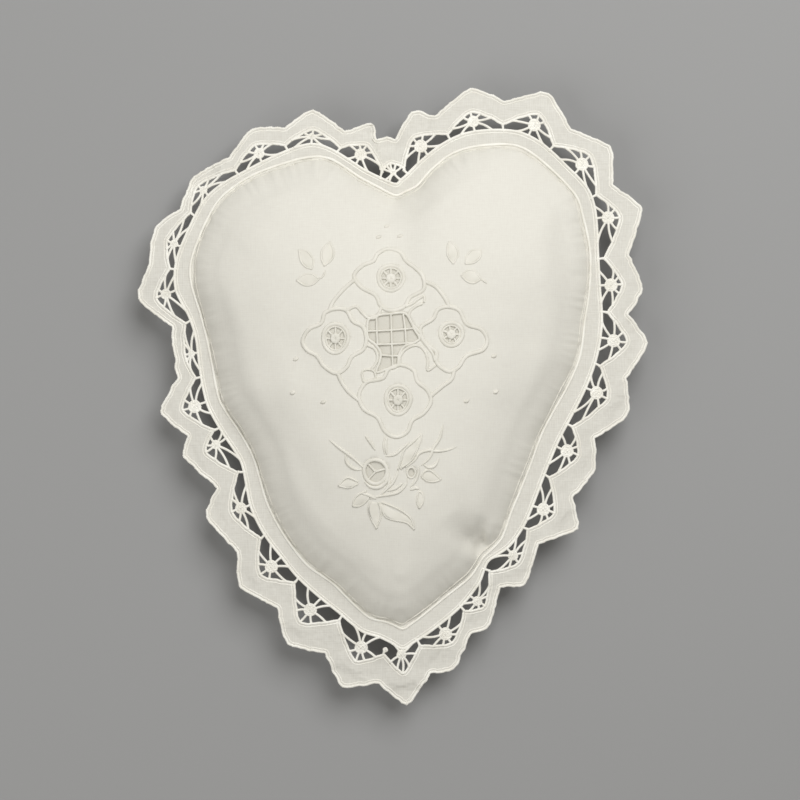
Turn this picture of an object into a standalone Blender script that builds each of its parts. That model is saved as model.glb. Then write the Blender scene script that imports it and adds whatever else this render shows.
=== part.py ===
"""Heart-shaped ring bearer pillow with an embroidered front and a cutwork border of woven wheels.

The pillow lies on its back: +Y points to the cleft of the heart, +X to the right and +Z out of the front.
The origin is under the middle of the border's outline, on the surface that the pillow lies on.
"""
import math

import bmesh
import bpy
from mathutils import Vector

for old in list(bpy.data.objects):
    bpy.data.objects.remove(old, do_unlink=True)

MM = 0.001

# Driving dimensions, in metres.
OVERALL_WIDTH = 256 * MM         # across the border, from point to point
OVERALL_LENGTH = 310 * MM        # along the border, from the top points to the tip
PILLOW_HEIGHT = 50 * MM          # from the table to the crown of the front
SEAM_HEIGHT = 20 * MM            # from the table to the middle of the flange cloth
FLANGE_WIDTH = 8.5 * MM          # plain cloth between the seam and the cutwork, on average
BORDER_DROOP = 4 * MM            # how far the border's edge hangs below the seam
FABRIC = 0.5 * MM                # one layer of cloth
BORDER_CLOTH = 0.9 * MM          # two layers of cloth, fused for the border
STITCH_WIDTH = 1.6 * MM          # the close stitching on every cut edge
STITCH_HEIGHT = 1.5 * MM
SEAM_CORD_WIDTH = 2.2 * MM       # the satin stitch over the seam
SEAM_CORD_HEIGHT = 1.4 * MM
HUB_DIAMETER = 6.5 * MM          # the woven middle of a wheel
SPOKE_WIDTH = 0.9 * MM           # two strands wrapped together
LACE_HEIGHT = 1.1 * MM
EMBROIDERY_WIDTH = 1.7 * MM      # padded satin stitch
EMBROIDERY_HEIGHT = 0.9 * MM
THREAD_WIDTH = 0.9 * MM          # strands across the openwork
BAR_LENGTH = 1.5 * MM            # between each notch of the cutwork and the flange
BAND_CLOTH = 1.2 * MM            # the least cloth that shows between the band's two stitched edges
CLEARANCE = 0.3 * MM             # between neighbours

# Shape rules, as shares.
HUB_PLACE = 0.45                 # where a hub sits between the flange and its scallop's point
HUB_FILL = 0.75                  # the most of a narrow cell that a hub may fill
SPOKE_SHARE = 0.8                # how much of a small hub's rim two neighbouring spokes may take up
WEB_SHARE = 0.4                  # the woven middle of an embroidered eye
CORNER_ROUNDING = 0.2            # share of each side that a scallop's rounded point takes
CROWN_FULLNESS = 2.4             # a higher power keeps the crown flat for longer
CROWN_SHOULDER = 0.65            # a lower power makes the sides steeper
FLAT_SHARE = 0.6                 # how much of the back lies flat on the table
RINGS = (1.0, 0.93, 0.8, 0.6, 0.35)
SPLINE_STEPS = 2

# The paper pattern, in millimetres. It is graded to the overall width and length.
# Flange edge, clockwise from the cleft to the tip and back: x, y, share of the flange width there.
FLANGE_RIGHT = (
    (0, 108, 0.8), (5, 112, 1.0), (11, 118, 0.95), (22, 127, 0.9), (34, 133, 1.0), (48, 135, 1.0),
    (62, 134, 0.95), (74, 128, 0.95), (86, 117, 0.9), (97, 105, 0.95), (101, 92, 0.9), (102, 74, 0.6), (103, 55, 0.75),
    (104, 38, 1.15), (101, 19, 1.1), (94, 1, 1.15), (83, -20, 1.2), (75, -39, 1.1), (66, -62, 1.15),
    (57, -75, 0.75), (47, -82, 0.5), (43, -92, 0.75), (33, -105, 1.15), (17, -118, 1.15), (4, -126, 1.3),
)
FLANGE_LEFT = (
    (4, -126, 1.3), (-8, -120, 1.1), (-17, -117, 1.05), (-28, -108, 1.1), (-38, -100, 1.25),
    (-49, -90, 1.05), (-57, -80, 1.0), (-66, -68, 1.1), (-73, -53, 1.1), (-77, -33, 0.9), (-85, -20, 1.0),
    (-94, -4, 0.9), (-98, 14, 0.9), (-100, 30, 0.75), (-104, 42, 0.85), (-110, 54, 1.1), (-110, 68, 1.0),
    (-105, 82, 0.9), (-97, 98, 0.85), (-88, 107, 0.7), (-74, 115, 0.55), (-58, 123, 0.75), (-42, 128, 0.9),
    (-29, 124, 0.65), (-15, 115, 0.65), (0, 108, 0.8),
)
# Scallops, clockwise from the cleft: the notch and the point on the cutwork side, then on the outside.
SCALLOPS = (
    ((-6, 114), (-2, 118), (-9, 130), (-4, 132)), ((5, 114), (9, 131), (0, 130), (8, 145)),
    ((27, 131), (38, 144), (20, 142), (38, 157)), ((54, 137), (72, 143), (55, 149), (77, 155)),
    ((79, 126), (98, 122), (88, 135), (109, 127)), ((99, 101), (113, 91), (109, 107), (125, 96)),
    ((105, 70), (114, 57), (117, 72), (125, 55)), ((105, 43), (117, 28), (117, 42), (128, 28)),
    ((103, 16), (107, 0), (116, 10), (118, -9)), ((88, -14), (92, -29), (100, -20), (101, -36)),
    ((78, -40), (80, -58), (89, -50), (93, -66)), ((65, -65), (62, -83), (72, -73), (66, -94)),
    ((46, -86), (45, -105), (53, -95), (47, -116)), ((34, -106), (29, -123), (38, -118), (30, -137)),
    ((12, -123), (4, -139), (18, -138), (6, -156)), ((-4, -127), (-20, -133), (-8, -143), (-27, -146)),
    ((-29, -112), (-48, -113), (-35, -128), (-55, -124)), ((-51, -93), (-68, -89), (-59, -105), (-79, -95)),
    ((-67, -70), (-82, -57), (-79, -77), (-96, -59)), ((-79, -37), (-95, -27), (-89, -45), (-107, -29)),
    ((-92, -17), (-107, -6), (-104, -19), (-119, -7)), ((-101, 10), (-105, 22), (-109, 10), (-111, 24)),
    ((-104, 38), (-120, 50), (-112, 36), (-130, 50)), ((-112, 65), (-114, 79), (-123, 67), (-121, 86)),
    ((-102, 93), (-99, 107), (-108, 95), (-101, 112)), ((-79, 113), (-70, 127), (-83, 121), (-72, 136)),
    ((-54, 125), (-41, 135), (-55, 136), (-41, 146)), ((-28, 124), (-14, 127), (-25, 134), (-11, 139)),
)
# Places where the border sags: x, y and how far.
SAGS = ((-98, 107, 7), (-105, 24, 4), (47, -98, 5), (-4, 125, 3))
SAG_RADIUS = 24 * MM
# The middle that the domes rise round.
CROWN = (-1, 15)
# Embroidered flowers: name, middle, reach of the side and end petals, middle and radius of the eye.
FLOWERS = (
    ("top", (-2.5, 58.5), (17, 15), (-2, 59), 7.0),
    ("left", (-29.5, 28), (15, 15.5), (-29, 30), 7.0),
    ("right", (28.5, 29), (16, 15.5), (28, 30.5), 6.2),
    ("bottom", (0, -2), (17.5, 17), (1.5, -1.5), 7.0),
)
PETAL_NOTCH = 0.7                # distance of a notch between petals, as a share of their reach
PETAL_ROUNDNESS = 0.7
# Cords that link two flowers: the two flowers, where the cord leaves the first, its bend, where it meets the second.
LINKS = (
    ("top", "left", (-18, 57.5), (-26, 52), (-30, 43)), ("top", "right", (14, 58.5), (22, 52.5), (26.5, 43)),
    ("bottom", "left", (-16, -1.5), (-23.5, 5), (-28.5, 13)), ("bottom", "right", (16, -1.5), (24.5, 6), (29, 14)),
)
WINDOW = (
    (-6, 40), (4, 40), (7, 38), (8.5, 35), (9.5, 31), (9.5, 27.5), (7, 26), (4, 23.5), (2.5, 20), (-2, 19),
    (-7, 18.5), (-8, 21.5), (-10, 24.5), (-11.5, 27), (-11.5, 33), (-11.5, 36), (-9.5, 38),
)
WINDOW_CORD = 1.1 * MM
LATTICE_COLUMNS = (-8.2, -1.3, 4.4)
LATTICE_ROWS = (22.5, 27.5, 34)
ROSE_EYE = ((-9, -37), 6.4)
ROSE_STEM = ((-12, -50), (-6, -47.5), (0, -47), (5, -45.5), (9, -43), (11, -39), (11.5, -34.5))

IVORY_COTTON = ("ivory_cotton", (0.81, 0.80, 0.74, 1), 0.9)
LACE_THREAD = ("lace_thread", (0.88, 0.87, 0.82, 1), 0.75)
EMBROIDERY_THREAD = ("embroidery_thread", (0.86, 0.85, 0.79, 1), 0.6)
CASING_CLOTH = ("casing_cloth", (0.78, 0.77, 0.72, 1), 0.9)
FIBRE = ("polyester_fibre", (0.85, 0.85, 0.85, 1), 1.0)


def finish(name, colour, roughness):
    """A plain cloth or thread finish, made once and shared."""
    material = bpy.data.materials.get(name) or bpy.data.materials.new(name)
    material.use_nodes = True
    shader = material.node_tree.nodes["Principled BSDF"]
    shader.inputs["Base Color"].default_value = colour
    shader.inputs["Roughness"].default_value = roughness
    shader.inputs["Metallic"].default_value = 0
    return material


# --- Outlines: lists of flat points, clockwise seen from the front ---------------------------------

def neighbours(outline):
    """Each point of a closed outline with the points before and after it."""
    return zip(outline[-1:] + outline[:-1], outline, outline[1:] + outline[:1])


def outward(arriving, leaving):
    """The direction that points out of a clockwise outline, halfway between two of its sides."""
    return Vector((-arriving.y - leaving.y, arriving.x + leaving.x)).normalized()


def grown(outline, distance):
    """A closed outline moved out by a distance, or in by a negative one."""
    moved = []
    for before, here, after in neighbours(outline):
        arriving = (here - before).normalized()
        leaving = (after - here).normalized()
        way_out = outward(arriving, leaving)
        mitre = way_out.dot(Vector((-arriving.y, arriving.x)))
        moved.append(here + way_out * (distance / max(mitre, 0.5)))
    return moved


def spline(points, steps):
    """Points along a smooth open curve through the given ones, without the last."""
    padded = [points[0] * 2 - points[1]] + points + [points[-1] * 2 - points[-2]]
    curve = []
    for a, b, c, d in zip(padded, padded[1:], padded[2:], padded[3:]):
        for step in range(steps):
            t = step / steps
            bend = (a * 2 - b * 5 + c * 4 - d) * (t * t / 2)
            swing = (b * 3 - c * 3 + d - a) * (t ** 3 / 2)
            curve.append(b + (c - a) * (t / 2) + bend + swing)
    return curve


def rounded(before, corner, after):
    """Three points that round off a corner."""
    start = corner.lerp(before, CORNER_ROUNDING)
    end = corner.lerp(after, CORNER_ROUNDING)
    return [start, (start + corner * 2 + end) / 4, end]


def zigzag(notches, points):
    """A closed outline of sharp notches and rounded points, a notch first."""
    outline = []
    for notch, point, next_notch in zip(notches, points, notches[1:] + notches[:1]):
        outline.append(notch)
        outline.extend(rounded(notch, point, next_notch))
    return outline


def nearest(point, outline):
    """The place on a closed outline that is nearest to a point, and the way out of the outline there."""
    best = None
    for start, end in zip(outline, outline[1:] + outline[:1]):
        side = end - start
        share = max(0.0, min(1.0, (point - start).dot(side) / side.length_squared))
        place = start + side * share
        gap = (point - place).length
        if best is None or gap < best[0]:
            best = (gap, place, outward(side, side))
    return best[1], best[2]


def reach(origin, direction, outlines):
    """The distance from a point to the first side of some closed outlines, along a unit direction."""
    distances = []
    for outline in outlines:
        for start, end in zip(outline, outline[1:] + outline[:1]):
            side = end - start
            facing = direction.x * side.y - direction.y * side.x
            if abs(facing) < 1e-12:
                continue
            away = start - origin
            distance = (away.x * side.y - away.y * side.x) / facing
            share = (away.x * direction.y - away.y * direction.x) / facing
            if distance > 0 and 0 <= share <= 1:
                distances.append(distance)
    return min(distances)


# --- Grading the pattern to the overall width and length -------------------------------------------

def sheet(points):
    """Points of the pattern sheet as vectors."""
    return [Vector(point[:2]) for point in points]


sheet_border = zigzag(sheet(row[2] for row in SCALLOPS), sheet(row[3] for row in SCALLOPS))
sheet_low = Vector((min(point.x for point in sheet_border), min(point.y for point in sheet_border)))
sheet_high = Vector((max(point.x for point in sheet_border), max(point.y for point in sheet_border)))
GRADE_X = OVERALL_WIDTH / (sheet_high.x - sheet_low.x)
GRADE_Y = OVERALL_LENGTH / (sheet_high.y - sheet_low.y)


def grade(points):
    """Points of the pattern sheet at their places on the pillow, in metres."""
    middle = (sheet_low + sheet_high) / 2
    return [Vector(((p.x - middle.x) * GRADE_X, (p.y - middle.y) * GRADE_Y)) for p in sheet(points)]


def seam_half(rows):
    """The seam's points beside one half of the flange edge, its width inside it."""
    edge = grade(rows)
    padded = [edge[0] * 2 - edge[1]] + edge + [edge[-1] * 2 - edge[-2]]
    half = []
    for before, here, after, row in zip(padded, edge, padded[2:], rows):
        way_out = outward((here - before).normalized(), (after - here).normalized())
        if row is rows[0] or row is rows[-1]:
            way_out = Vector((0, math.copysign(1, here.y)))
        half.append(here - way_out * FLANGE_WIDTH * row[2])
    return half


def heart(right, left, steps):
    """A closed heart outline from its two halves, sharp at the cleft and at the tip."""
    return spline(right, steps) + spline(left, steps)


seam_right = seam_half(FLANGE_RIGHT)
seam_left = seam_half(FLANGE_LEFT)
SEAM = heart(seam_right, seam_left, 1)
SEAM_CURVE = heart(seam_right, seam_left, SPLINE_STEPS)
FLANGE_EDGE = heart(grade(FLANGE_RIGHT), grade(FLANGE_LEFT), SPLINE_STEPS)


def cutwork_notches():
    """The notches on the cutwork side, each the length of its bar away from the flange edge."""
    notches = []
    for notch in grade(row[0] for row in SCALLOPS):
        place, way_out = nearest(notch, FLANGE_EDGE)
        notches.append(place + way_out * BAR_LENGTH)
    return notches


NOTCHES = cutwork_notches()
POINTS = grade(row[1] for row in SCALLOPS)
CUTWORK_EDGE = zigzag(NOTCHES, POINTS)


def border_edge():
    """The outside of the border, moved out where its two stitched edges would leave no cloth between them."""
    least = 2 * (STITCH_WIDTH + CLEARANCE) + BAND_CLOTH
    edge = []
    for point in zigzag(grade(row[2] for row in SCALLOPS), grade(row[3] for row in SCALLOPS)):
        across = point - nearest(point, CUTWORK_EDGE)[0]
        edge.append(point + across.normalized() * max(0.0, least - across.length))
    return edge


BORDER_EDGE = border_edge()
CROWN_MIDDLE = grade([CROWN])[0]
SAG_PLACES = [(place, row[2] * MM) for place, row in zip(grade(SAGS), SAGS)]


# --- Heights ---------------------------------------------------------------------------------------

def border_height(point):
    """Middle of the border cloth: it falls away from the seam, and more where the border sags."""
    share = (point - nearest(point, SEAM)[0]).length / BORDER_REACH
    fall = BORDER_DROOP * share ** 2
    for place, depth in SAG_PLACES:
        gap = (point - place).length / SAG_RADIUS
        fall += depth * share * math.exp(-gap ** 2)
    return SEAM_HEIGHT - fall


BORDER_REACH = max((point - nearest(point, SEAM)[0]).length for point in BORDER_EDGE)


def dome(share):
    """Height of a stuffed dome at a share of the way from its middle to its rim, from 1 to 0."""
    return max(0.0, 1 - share ** CROWN_FULLNESS) ** CROWN_SHOULDER


def front_height(point):
    """Height of the front cover's outer face at a flat point."""
    away = point - CROWN_MIDDLE
    if away.length < MM:
        return PILLOW_HEIGHT
    share = away.length / reach(CROWN_MIDDLE, away.normalized(), [SEAM])
    return FRONT_RIM + (PILLOW_HEIGHT - FRONT_RIM) * dome(share)


FRONT_RIM = SEAM_HEIGHT + BORDER_CLOTH / 2 + CLEARANCE
BACK_RIM = SEAM_HEIGHT - BORDER_CLOTH / 2 - CLEARANCE


# --- Solids ----------------------------------------------------------------------------------------

def add_solid(name, upper, lower, faces, material):
    """One closed solid between two matching sheets of points, walled round every open edge."""
    bm = bmesh.new()
    top = [bm.verts.new(point) for point in upper]
    bottom = [bm.verts.new(point) for point in lower]
    for face in faces:
        bm.faces.new([top[index] for index in face])
        bm.faces.new([bottom[index] for index in reversed(face)])
    open_edges = [edge for edge in bm.edges if len(edge.link_faces) == 1]
    partner = dict(zip(top, bottom))
    for edge in open_edges:
        first, second = edge.verts
        if first in partner:
            bm.faces.new((first, second, partner[second], partner[first]))
    bmesh.ops.recalc_face_normals(bm, faces=bm.faces)
    bmesh.ops.triangulate(bm, faces=bm.faces)
    mesh = bpy.data.meshes.new(name)
    bm.to_mesh(mesh)
    bm.free()
    mesh.materials.append(finish(*material))
    solid = bpy.data.objects.new(name, mesh)
    bpy.context.collection.objects.link(solid)
    return solid


def add_flat_solid(name, points, faces, underside, thickness, material):
    """A thin solid over flat points, its underside at the height that a function gives."""
    lower = [Vector((*point, underside(point))) for point in points]
    upper = [point + Vector((0, 0, thickness)) for point in lower]
    return add_solid(name, upper, lower, faces, material)


def band_faces(count, closed=True):
    """Faces between two runs of points listed one after the other."""
    last = count if closed else count - 1
    return [(i, (i + 1) % count, (i + 1) % count + count, i + count) for i in range(last)]


def add_ring(name, outer, inner, thickness, material):
    """A ring of the border between two outlines, centred on the border's height."""
    def underside(point):
        return border_height(point) - thickness / 2
    return add_flat_solid(name, outer + inner, band_faces(len(outer)), underside, thickness, material)


# --- The stuffed body ------------------------------------------------------------------------------

def dome_sheet(inset, rim_height, rise):
    """Points of a dome whose rim is inset from the seam, and which rises or falls from its rim."""
    rim = grown(SEAM, -inset)
    points = []
    for share in RINGS:
        height = rim_height + rise(share)
        points.extend(Vector((*CROWN_MIDDLE.lerp(place, share), height)) for place in rim)
    return points + [Vector((*CROWN_MIDDLE, rim_height + rise(0)))]


def dome_faces():
    """Faces of a dome: bands between its rings and a fan round its middle."""
    count = len(SEAM)
    faces = []
    for ring in range(len(RINGS) - 1):
        faces.extend(tuple(index + ring * count for index in face) for face in band_faces(count))
    last = (len(RINGS) - 1) * count
    middle = len(RINGS) * count
    faces.extend((last + i, last + (i + 1) % count, middle) for i in range(count))
    return faces


def front_sheet(inset):
    """The front's face, this far inside the outer face."""
    return dome_sheet(inset, FRONT_RIM, lambda share: (PILLOW_HEIGHT - inset - FRONT_RIM) * dome(share))


def back_sheet(inset):
    """The back's face, this far inside the outer face, flat where the pillow lies on it."""
    def fall(share):
        return (inset - BACK_RIM) * min(1, dome(share) / dome(FLAT_SHARE))
    return dome_sheet(inset, BACK_RIM, fall)


def add_layers():
    """The two covers, the two halves of the casing inside them, and the filling."""
    casing_inset = FABRIC + CLEARANCE
    filling_inset = casing_inset + FABRIC + CLEARANCE
    cover = add_solid("front_cover", front_sheet(0), front_sheet(FABRIC), dome_faces(), IVORY_COTTON)
    add_solid("back_cover", back_sheet(FABRIC), back_sheet(0), dome_faces(), IVORY_COTTON)
    add_solid("casing_front", front_sheet(casing_inset), front_sheet(casing_inset + FABRIC), dome_faces(),
              CASING_CLOTH)
    add_solid("casing_back", back_sheet(casing_inset + FABRIC), back_sheet(casing_inset), dome_faces(),
              CASING_CLOTH)
    add_solid("fibre_filling", front_sheet(filling_inset), back_sheet(filling_inset), dome_faces(), FIBRE)
    return cover


# --- The border ------------------------------------------------------------------------------------

def add_border():
    """The flange, the scalloped band and the close stitching along each of their edges."""
    stitched = STITCH_WIDTH + CLEARANCE
    add_ring("border_flange", grown(FLANGE_EDGE, -stitched), SEAM_CURVE, BORDER_CLOTH, IVORY_COTTON)
    add_ring("flange_edge_stitch", FLANGE_EDGE, grown(FLANGE_EDGE, -STITCH_WIDTH), STITCH_HEIGHT, LACE_THREAD)
    add_ring("band_inner_stitch", grown(CUTWORK_EDGE, STITCH_WIDTH), CUTWORK_EDGE, STITCH_HEIGHT, LACE_THREAD)
    add_ring("scalloped_band", grown(BORDER_EDGE, -stitched), grown(CUTWORK_EDGE, stitched), BORDER_CLOTH,
             IVORY_COTTON)
    add_ring("band_outer_stitch", BORDER_EDGE, grown(BORDER_EDGE, -STITCH_WIDTH), STITCH_HEIGHT, LACE_THREAD)


def add_seam_cord():
    """The satin stitch over the seam, on the flange and close against the front cover."""
    inner = grown(SEAM, CLEARANCE)
    outer = grown(SEAM, CLEARANCE + SEAM_CORD_WIDTH)
    add_flat_solid("seam_cord", outer + inner, band_faces(len(outer)), lambda point: FRONT_RIM,
                   SEAM_CORD_HEIGHT, LACE_THREAD)


def turned(direction, angle):
    """A flat direction turned clockwise."""
    cosine, sine = math.cos(angle), math.sin(angle)
    return Vector((direction.x * cosine + direction.y * sine, direction.y * cosine - direction.x * sine))


def run_length(start, way, width, edges):
    """How far a strand of some width runs from its start before one of its sides meets an edge."""
    across = Vector((-way.y, way.x)) * (width / 2)
    return min(reach(start + across, way, edges), reach(start - across, way, edges))


def hub_and_spokes(middle, ways, hub_radius, spoke_width, edges):
    """Points and faces of a woven hub with a spoke each way, as far as the edges round it."""
    points = [middle]
    hub_corners = []
    faces = []
    closest = min(way.angle(next_way) for way, next_way in zip(ways, ways[1:] + ways[:1]))
    half = min(spoke_width / 2, hub_radius * math.sin(closest / 2) * SPOKE_SHARE)
    shoulder = math.sqrt(hub_radius ** 2 - half ** 2)
    for way in ways:
        across = Vector((-way.y, way.x)) * half
        length = run_length(middle, way, half * 2, edges)
        start = len(points)
        points.extend((middle + way * shoulder + across, middle + way * shoulder - across,
                       middle + way * length - across, middle + way * length + across))
        faces.append((start, start + 1, start + 2, start + 3))
        hub_corners.extend((start, start + 1))
    for corner, next_corner in zip(hub_corners, hub_corners[1:] + hub_corners[:1]):
        faces.append((0, corner, next_corner))
    return points, faces


def spoke_ways(middle, point, next_notch, last_notch):
    """A wheel's eight directions: its scallop's point, the notches on both sides, and between them."""
    ahead = (point - middle).normalized()
    right = ahead.angle_signed(next_notch - middle) % math.tau
    left = ahead.angle_signed(last_notch - middle) % math.tau
    quarter = (left - right) / 4
    turns = (0, right / 2, right, right + quarter, right + 2 * quarter, right + 3 * quarter, left,
             (left + math.tau) / 2)
    return [turned(ahead, turn) for turn in turns]


def add_wheel(number, last_notch, point, next_notch):
    """One woven wheel in its cell, its spokes reaching to the stitched edges all round."""
    cell = [grown(FLANGE_EDGE, CLEARANCE), grown(CUTWORK_EDGE, -CLEARANCE)]
    foot = nearest(point, FLANGE_EDGE)[0]
    middle = foot.lerp(point, HUB_PLACE)
    room = min((nearest(middle, outline)[0] - middle).length for outline in cell)
    hub_radius = min(HUB_DIAMETER / 2, room * HUB_FILL)
    ways = spoke_ways(middle, point, next_notch, last_notch)
    points, faces = hub_and_spokes(middle, ways, hub_radius, SPOKE_WIDTH, cell)
    add_flat_solid(f"lace_wheel_{number:02d}", points, faces, lambda p: border_height(p) - LACE_HEIGHT / 2,
                   LACE_HEIGHT, LACE_THREAD)


def add_wheels():
    """The woven wheels, clockwise from the cleft."""
    for number, last_notch in enumerate(NOTCHES):
        next_notch = NOTCHES[(number + 1) % len(NOTCHES)]
        add_wheel(number + 1, last_notch, POINTS[number], next_notch)


# --- The embroidery on the front cover -------------------------------------------------------------

def on_cover(point):
    """Underside of what is sewn on the front cover."""
    return front_height(point) + CLEARANCE


def add_loop(name, outline, width, thickness):
    """A closed cord on the cover, centred on an outline."""
    points = grown(outline, width / 2) + grown(outline, -width / 2)
    return add_flat_solid(name, points, band_faces(len(outline)), on_cover, thickness, EMBROIDERY_THREAD)


def add_run(name, route, width, thickness):
    """An open cord on the cover along a smooth route."""
    places = spline(route, SPLINE_STEPS) + route[-1:]
    left, right = [], []
    for before, here, after in zip(places[:1] + places[:-1], places, places[1:] + places[-1:]):
        way = (after - before).normalized()
        across = Vector((-way.y, way.x)) * (width / 2)
        left.append(here + across)
        right.append(here - across)
    faces = band_faces(len(places), closed=False)
    return add_flat_solid(name, left + right, faces, on_cover, thickness, EMBROIDERY_THREAD)


def flower_outline(middle, petal_reach):
    """Four round petals: clockwise points at a distance that swells and narrows four times round."""
    steps = 36
    side, end = petal_reach
    outline = []
    for step in range(steps):
        angle = -step * math.tau / steps
        swell = abs(math.cos(2 * angle)) ** PETAL_ROUNDNESS
        share = PETAL_NOTCH + (1 - PETAL_NOTCH) * swell
        outline.append((middle[0] + side * share * math.cos(angle), middle[1] + end * share * math.sin(angle)))
    return grade(outline)


def circle(middle, radius, steps):
    """A clockwise circle."""
    return [middle + radius * Vector((math.cos(angle), math.sin(angle)))
            for angle in (-step * math.tau / steps for step in range(steps))]


def cut_window(cover, outline):
    """A hole through the front cover, cut straight down."""
    count = len(outline)
    faces = [tuple(range(count))]
    cutter = add_flat_solid("window_cutter", outline, faces, lambda point: SEAM_HEIGHT, PILLOW_HEIGHT,
                            IVORY_COTTON)
    cutter.hide_render = True
    cutter.display_type = "WIRE"
    cut = cover.modifiers.new("window", "BOOLEAN")
    cut.operation = "DIFFERENCE"
    cut.object = cutter


def add_eye(name, cover, middle, outer_radius, spokes):
    """A corded ring round an openwork hole, with a woven web across the hole in the cover's own layer."""
    hole_radius = outer_radius - EMBROIDERY_WIDTH
    steps = 3 * spokes
    cut_window(cover, circle(middle, hole_radius, steps))
    add_loop(f"{name}_ring", circle(middle, outer_radius - EMBROIDERY_WIDTH / 2, steps), EMBROIDERY_WIDTH,
             EMBROIDERY_HEIGHT)
    edges = [circle(middle, hole_radius - CLEARANCE, steps)]
    ways = [turned(Vector((0, 1)), number * math.tau / spokes) for number in range(spokes)]
    points, faces = hub_and_spokes(middle, ways, hole_radius * WEB_SHARE, THREAD_WIDTH, edges)
    add_in_cover(f"{name}_web", points, faces)


def add_in_cover(name, points, faces):
    """A thin web in the layer of the front cover, across a hole in it."""
    add_flat_solid(name, points, faces, lambda point: front_height(point) - FABRIC, FABRIC, LACE_THREAD)


def strand_ends(place, way, edges):
    """Where a strand through a place, along X or Y, meets the edges before and after it."""
    behind = run_length(place, -way, THREAD_WIDTH, edges)
    ahead = run_length(place, way, THREAD_WIDTH, edges)
    return place.dot(way) - behind, place.dot(way) + ahead


def strand_stops(line, ends, others, other_ends):
    """The places along a strand where it starts, enters and leaves each strand it crosses, and ends."""
    half = THREAD_WIDTH / 2
    stops = [ends[0]]
    for other, (low, high) in zip(others, other_ends):
        if low < line - half and line + half < high and ends[0] < other - half and other + half < ends[1]:
            stops.extend((other - half, other + half))
    return stops + [ends[1]]


def lattice_boxes(columns, rows, edges):
    """The boxes, as corner places, that crossing strands are made of. A crossing is one box."""
    half = THREAD_WIDTH / 2
    middle = Vector((columns[len(columns) // 2], rows[len(rows) // 2]))
    column_ends = [strand_ends(Vector((x, middle.y)), Vector((0, 1)), edges) for x in columns]
    row_ends = [strand_ends(Vector((middle.x, y)), Vector((1, 0)), edges) for y in rows]
    boxes = set()
    for x, ends in zip(columns, column_ends):
        stops = strand_stops(x, ends, rows, row_ends)
        for low, high in zip(stops, stops[1:]):
            boxes.add(((x - half, low), (x + half, low), (x + half, high), (x - half, high)))
    for y, ends in zip(rows, row_ends):
        stops = strand_stops(y, ends, columns, column_ends)
        for low, high in zip(stops, stops[1:]):
            boxes.add(((low, y - half), (high, y - half), (high, y + half), (low, y + half)))
    return sorted(boxes)


def add_lattice(cover):
    """The openwork in the middle: a corded window and the strands across it, crossing in one layer."""
    window = grade(WINDOW)
    cut_window(cover, window)
    add_loop("lattice_frame", grown(window, WINDOW_CORD / 2), WINDOW_CORD, EMBROIDERY_HEIGHT)
    columns = [place.x for place in grade((x, 0) for x in LATTICE_COLUMNS)]
    rows = [place.y for place in grade((0, y) for y in LATTICE_ROWS)]
    boxes = lattice_boxes(columns, rows, [grown(window, -CLEARANCE)])
    corners = sorted({corner for box in boxes for corner in box})
    faces = [[corners.index(corner) for corner in box] for box in boxes]
    add_in_cover("lattice_strands", [Vector(corner) for corner in corners], faces)


def link_end(bend, end, flower):
    """Where a link that leaves its bend towards an end stops, short of a flower's cord."""
    way = (end - bend).normalized()
    cord_edge = grown(flower, EMBROIDERY_WIDTH / 2 + CLEARANCE)
    return bend + way * run_length(bend, way, EMBROIDERY_WIDTH, [cord_edge])


def add_embroidery(cover):
    """Four flowers round the openwork, the links between them, and the rose below."""
    outlines = {}
    for name, middle, petal_reach, eye_middle, eye_radius in FLOWERS:
        outlines[name] = flower_outline(middle, petal_reach)
        add_loop(f"flower_{name}", outlines[name], EMBROIDERY_WIDTH, EMBROIDERY_HEIGHT)
        add_eye(f"flower_{name}_eye", cover, grade([eye_middle])[0], eye_radius * MM, 6)
    for first, second, *route in LINKS:
        start, bend, end = grade(route)
        route = [link_end(bend, start, outlines[first]), bend, link_end(bend, end, outlines[second])]
        add_run(f"link_{first}_{second}", route, EMBROIDERY_WIDTH, EMBROIDERY_HEIGHT)
    add_lattice(cover)
    middle, radius = ROSE_EYE
    add_eye("rose_eye", cover, grade([middle])[0], radius * MM, 3)
    add_run("rose_stem", grade(ROSE_STEM), EMBROIDERY_WIDTH, EMBROIDERY_HEIGHT)


front_cover = add_layers()
add_border()
add_seam_cord()
add_wheels()
add_embroidery(front_cover)
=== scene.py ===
"""Looks of a heart-shaped ring bearer pillow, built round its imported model.

The pillow lies on its back: +Y points to the cleft of the heart, +X to the right and +Z out of the front.
"""

import math
import random

import bmesh
import bpy
import numpy as np
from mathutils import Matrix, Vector, geometry, kdtree, noise
from mathutils.bvhtree import BVHTree


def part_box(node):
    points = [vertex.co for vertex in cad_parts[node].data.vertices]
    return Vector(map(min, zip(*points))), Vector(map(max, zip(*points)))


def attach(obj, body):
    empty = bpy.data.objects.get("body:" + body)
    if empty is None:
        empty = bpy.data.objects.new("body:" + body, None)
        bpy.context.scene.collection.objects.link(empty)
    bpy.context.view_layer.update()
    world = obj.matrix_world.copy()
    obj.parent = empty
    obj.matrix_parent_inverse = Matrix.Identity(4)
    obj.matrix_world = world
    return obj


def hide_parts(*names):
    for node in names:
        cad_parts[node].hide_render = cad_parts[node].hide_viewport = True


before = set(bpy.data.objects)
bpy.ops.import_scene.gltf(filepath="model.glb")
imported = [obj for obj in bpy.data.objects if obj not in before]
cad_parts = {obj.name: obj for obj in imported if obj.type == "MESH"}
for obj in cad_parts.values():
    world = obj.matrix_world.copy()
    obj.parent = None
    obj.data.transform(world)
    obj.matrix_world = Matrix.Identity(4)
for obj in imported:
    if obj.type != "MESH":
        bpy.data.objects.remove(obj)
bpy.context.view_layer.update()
MM = 0.001

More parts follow.
